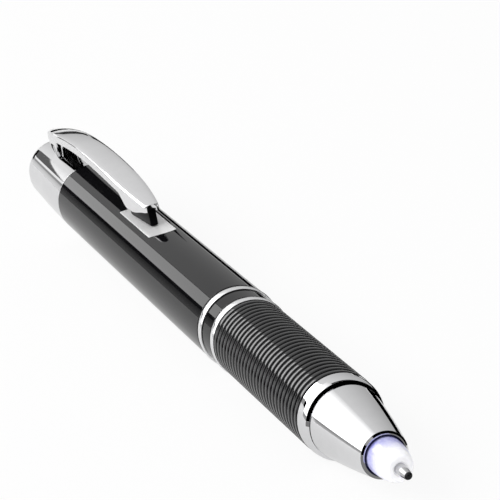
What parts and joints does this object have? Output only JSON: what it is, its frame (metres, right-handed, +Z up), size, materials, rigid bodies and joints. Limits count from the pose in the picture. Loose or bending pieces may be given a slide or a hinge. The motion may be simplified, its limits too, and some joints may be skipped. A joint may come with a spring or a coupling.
{
  "type": "light-up ballpoint pen",
  "caption": "Slim twist ballpoint pen with chrome cap, arched clip and nose, ribbed grip and a light guide round its writing point.",
  "frame": {"origin": "middle of the pen's length, straight below its axis, on the surface it lies on", "axes": "+X along the pen toward the writing tip, +Z up through the clip"},
  "size_m": [0.1476, 0.011, 0.0158],
  "materials": {
    "chrome": "polished chrome plate",
    "black_lacquer": "gloss black lacquer on a metal tube",
    "black_rubber": "smooth black rubber with fine ribs",
    "white_plastic": "plain moulded",
    "frosted_plastic": "milky translucent light guide",
    "steel": "bright steel",
    "brass": "plain brass",
    "black_plastic": "moulded",
    "circuit_board": "solder mask",
    "red_led": "clear red epoxy",
    "carbide": "polished carbide"
  },
  "bodies": {
    "upper": {"barrel": "black_lacquer", "rear_cap": "chrome", "clip_pin": "steel", "inlay_plate": "chrome", "upper_ring": "chrome", "cam_sleeve": "white_plastic", "battery_sleeve": "white_plastic", "battery_stop": "brass", "contact_rod": "brass", "cell_1": "steel", "cell_2": "steel", "cell_3": "steel", "battery_spring": "steel", "switch_housing": "black_plastic", "button_spring": "steel"},
    "clip": {"clip": "chrome"},
    "button": {"light_button": "chrome"},
    "lower": {"liner": "white_plastic", "grip": "black_rubber", "lower_ring": "chrome", "centre_band": "black_lacquer", "nose_cone": "chrome", "light_guide": "frosted_plastic", "led_board": "circuit_board", "led_left": "red_led", "led_right": "red_led", "guide_tube": "brass", "retaining_ring": "steel", "slip_contact": "brass"},
    "refill": {"refill_carrier": "white_plastic", "follower_pin": "steel", "refill_tube": "brass", "refill_point": "steel", "writing_ball": "carbide"}
  },
  "joints": [
    {"name": "barrel_twist", "type": "hinge", "parent": "upper", "child": "lower", "pos_m": [0, 0, 0.00547], "axis": [1, 0, 0], "range_deg": [0, 180]},
    {"name": "refill_slide", "type": "slide", "parent": "lower", "child": "refill", "axis": [-1, 0, 0], "range_m": [0, 0.005]},
    {"name": "clip_flex", "type": "hinge", "parent": "upper", "child": "clip", "pos_m": [-0.06165, 0, 0.00987], "axis": [0, -1, 0], "range_deg": [0, 4], "stiffness_Nm_per_rad": 1.6},
    {"name": "button_press", "type": "slide", "parent": "upper", "child": "button", "axis": [1, 0, 0], "range_m": [0, 0.0012], "stiffness_N_per_m": 900, "deforming": ["button_spring"]}
  ],
  "couplings": [
    {"joint": "refill_slide", "follows": "barrel_twist", "m_per_rad": 0.0015915}
  ]
}
